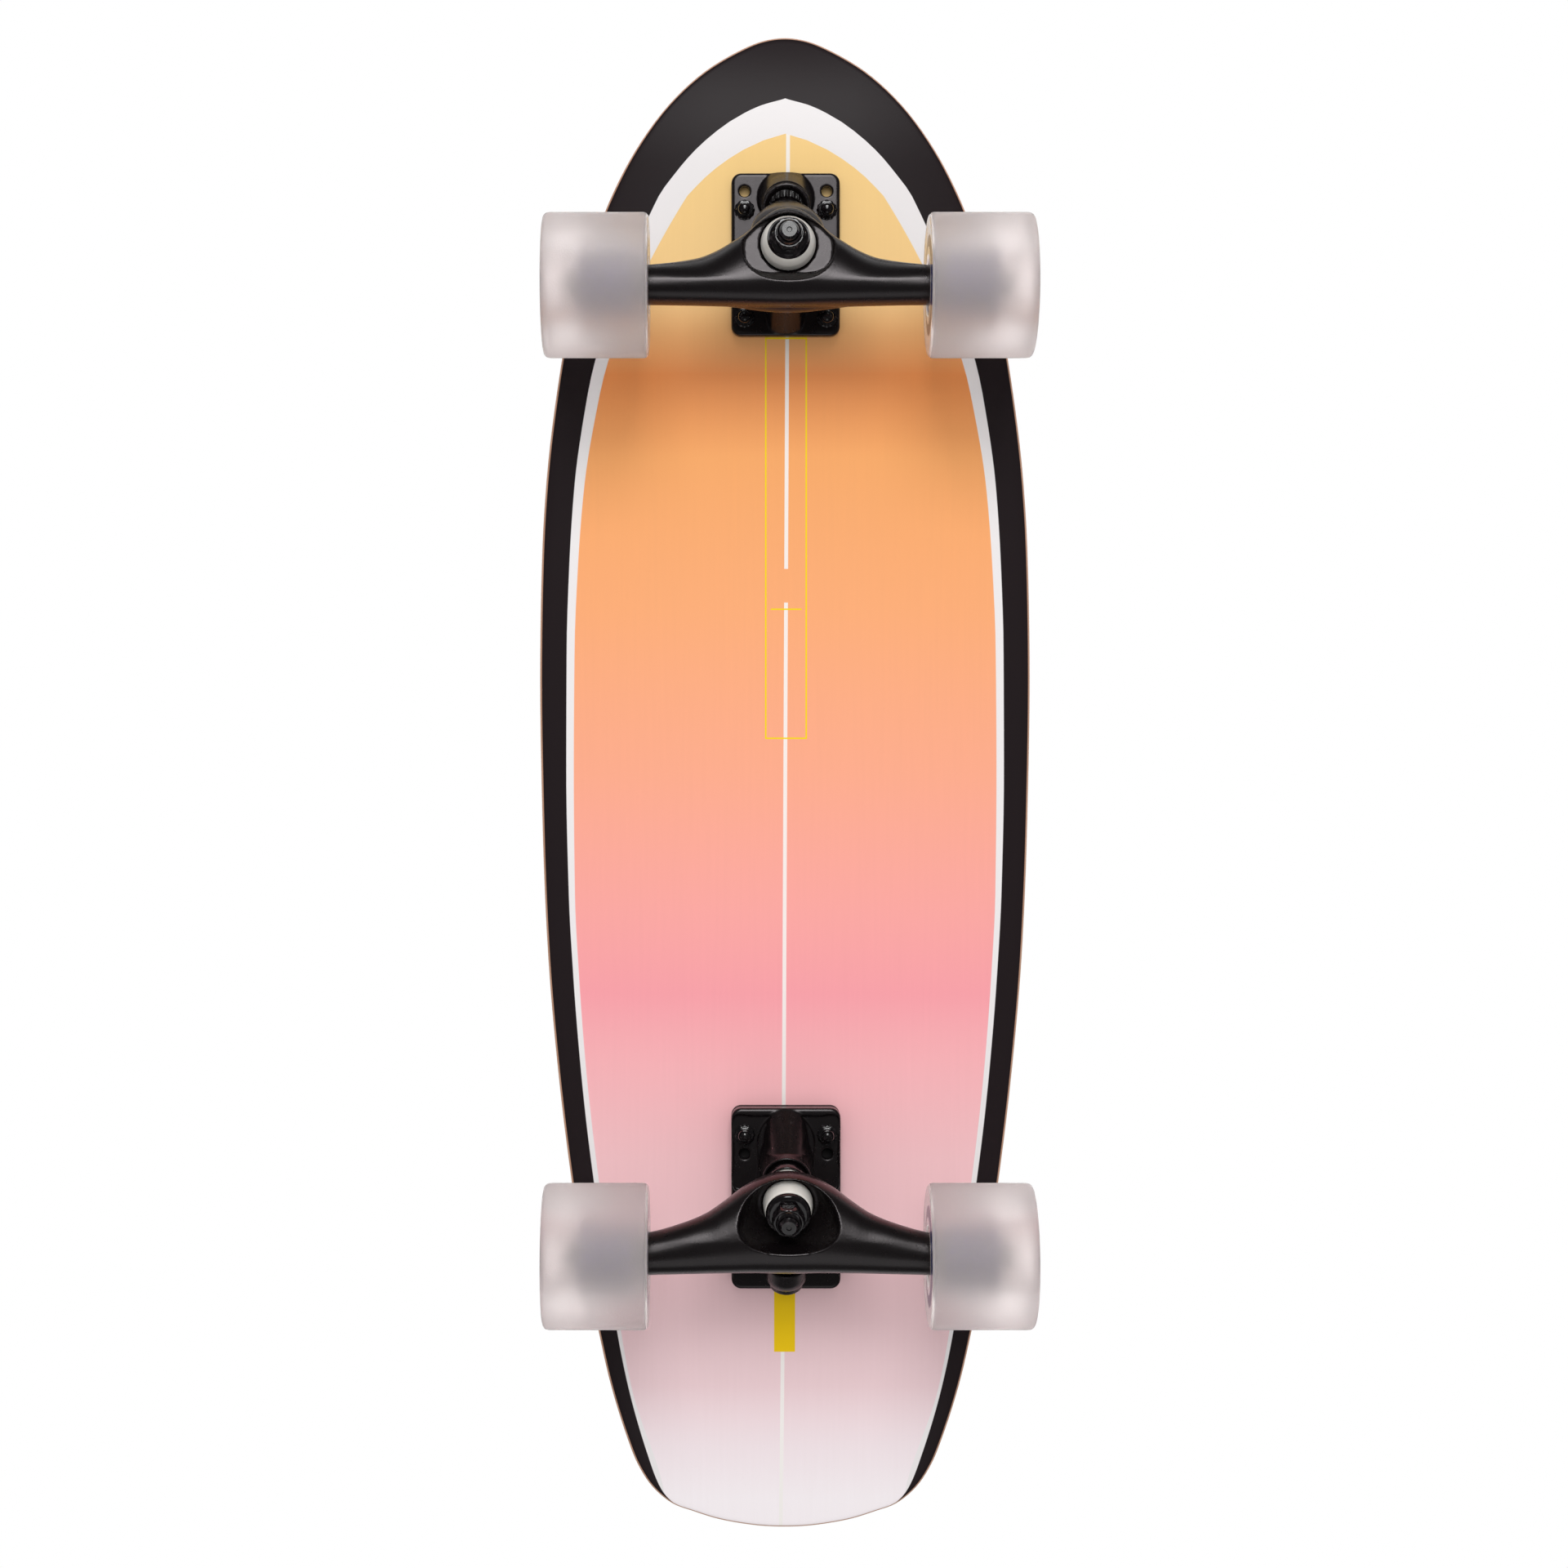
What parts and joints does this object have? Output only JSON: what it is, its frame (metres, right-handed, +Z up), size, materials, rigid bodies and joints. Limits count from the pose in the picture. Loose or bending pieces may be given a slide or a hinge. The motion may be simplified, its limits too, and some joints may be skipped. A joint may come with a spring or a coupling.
{
  "type": "surf skateboard",
  "caption": "Surf skateboard with a pointed nose and a kicked tail, a deep-carving front truck, a rear truck on a riser and wide frosted wheels on blue cores.",
  "frame": {"origin": "on the ground, under the deck's middle", "axes": "+X to the nose, +Y to the rider's left, +Z up"},
  "size_m": [0.762, 0.249, 0.136],
  "materials": {
    "deck_laminate": "satin print over birch",
    "grip": "abrasive",
    "cast_black": "satin powder coat",
    "black_steel": "gloss",
    "axle_steel": "plain",
    "bearing_steel": "polished",
    "black_rubber": "matte",
    "pale_urethane": "satin",
    "frosted_urethane": "frosted tread, glossy faces",
    "blue_core": "gloss"
  },
  "bodies": {
    "board": {"deck": "deck_laminate", "grip_tape": "grip", "rear_riser_pad": "black_rubber", "front_baseplate": "cast_black", "front_pivot_cup": "black_rubber", "front_kingpin": "black_steel", "front_boardside_washer": "black_steel", "front_boardside_bushing": "pale_urethane", "front_roadside_bushing": "pale_urethane", "front_roadside_washer": "black_steel", "front_kingpin_nut": "black_steel", "front_inner_left_mounting_bolt": "black_steel", "front_inner_left_mounting_nut": "black_steel", "front_inner_right_mounting_bolt": "black_steel", "front_inner_right_mounting_nut": "black_steel", "front_outer_left_mounting_bolt": "black_steel", "front_outer_left_mounting_nut": "black_steel", "front_outer_right_mounting_bolt": "black_steel", "front_outer_right_mounting_nut": "black_steel", "rear_baseplate": "cast_black", "rear_pivot_cup": "black_rubber", "rear_kingpin": "black_steel", "rear_boardside_washer": "black_steel", "rear_boardside_bushing": "pale_urethane", "rear_roadside_bushing": "pale_urethane", "rear_roadside_washer": "black_steel", "rear_kingpin_nut": "black_steel", "rear_inner_left_mounting_bolt": "black_steel", "rear_inner_left_mounting_nut": "black_steel", "rear_inner_right_mounting_bolt": "black_steel", "rear_inner_right_mounting_nut": "black_steel", "rear_outer_left_mounting_bolt": "black_steel", "rear_outer_left_mounting_nut": "black_steel", "rear_outer_right_mounting_bolt": "black_steel", "rear_outer_right_mounting_nut": "black_steel"},
    "front_hanger_assembly": {"front_hanger": "cast_black", "front_axle": "axle_steel", "front_left_axle_nut": "black_steel", "front_right_axle_nut": "black_steel"},
    "front_left_wheel": {"front_left_wheel_tyre": "frosted_urethane", "front_left_wheel_core": "blue_core", "front_left_inner_bearing": "bearing_steel", "front_left_outer_bearing": "bearing_steel"},
    "front_right_wheel": {"front_right_wheel_tyre": "frosted_urethane", "front_right_wheel_core": "blue_core", "front_right_inner_bearing": "bearing_steel", "front_right_outer_bearing": "bearing_steel"},
    "rear_hanger_assembly": {"rear_hanger": "cast_black", "rear_axle": "axle_steel", "rear_left_axle_nut": "black_steel", "rear_right_axle_nut": "black_steel"},
    "rear_left_wheel": {"rear_left_wheel_tyre": "frosted_urethane", "rear_left_wheel_core": "blue_core", "rear_left_inner_bearing": "bearing_steel", "rear_left_outer_bearing": "bearing_steel"},
    "rear_right_wheel": {"rear_right_wheel_tyre": "frosted_urethane", "rear_right_wheel_core": "blue_core", "rear_right_inner_bearing": "bearing_steel", "rear_right_outer_bearing": "bearing_steel"}
  },
  "joints": [
    {"name": "front_steer", "type": "hinge", "parent": "board", "child": "front_hanger_assembly", "pos_m": [0.29, 0, 0.0855], "axis": [0.5171, 0, 0.8559], "range_deg": [-20, 20], "stiffness_Nm_per_rad": 40, "deforming": ["front_boardside_bushing", "front_roadside_bushing"]},
    {"name": "front_left_spin", "type": "hinge", "parent": "front_hanger_assembly", "child": "front_left_wheel", "pos_m": [0.244, 0.0925, 0.035], "axis": [0, 1, 0], "continuous": true},
    {"name": "front_right_spin", "type": "hinge", "parent": "front_hanger_assembly", "child": "front_right_wheel", "pos_m": [0.244, -0.0925, 0.035], "axis": [0, 1, 0], "continuous": true},
    {"name": "rear_steer", "type": "hinge", "parent": "board", "child": "rear_hanger_assembly", "pos_m": [-0.24, 0, 0.0785], "axis": [-0.8151, 0, 0.5793], "range_deg": [-12, 12], "stiffness_Nm_per_rad": 40, "deforming": ["rear_boardside_bushing", "rear_roadside_bushing"]},
    {"name": "rear_left_spin", "type": "hinge", "parent": "rear_hanger_assembly", "child": "rear_left_wheel", "pos_m": [-0.225, 0.0925, 0.035], "axis": [0, 1, 0], "continuous": true},
    {"name": "rear_right_spin", "type": "hinge", "parent": "rear_hanger_assembly", "child": "rear_right_wheel", "pos_m": [-0.225, -0.0925, 0.035], "axis": [0, 1, 0], "continuous": true}
  ]
}
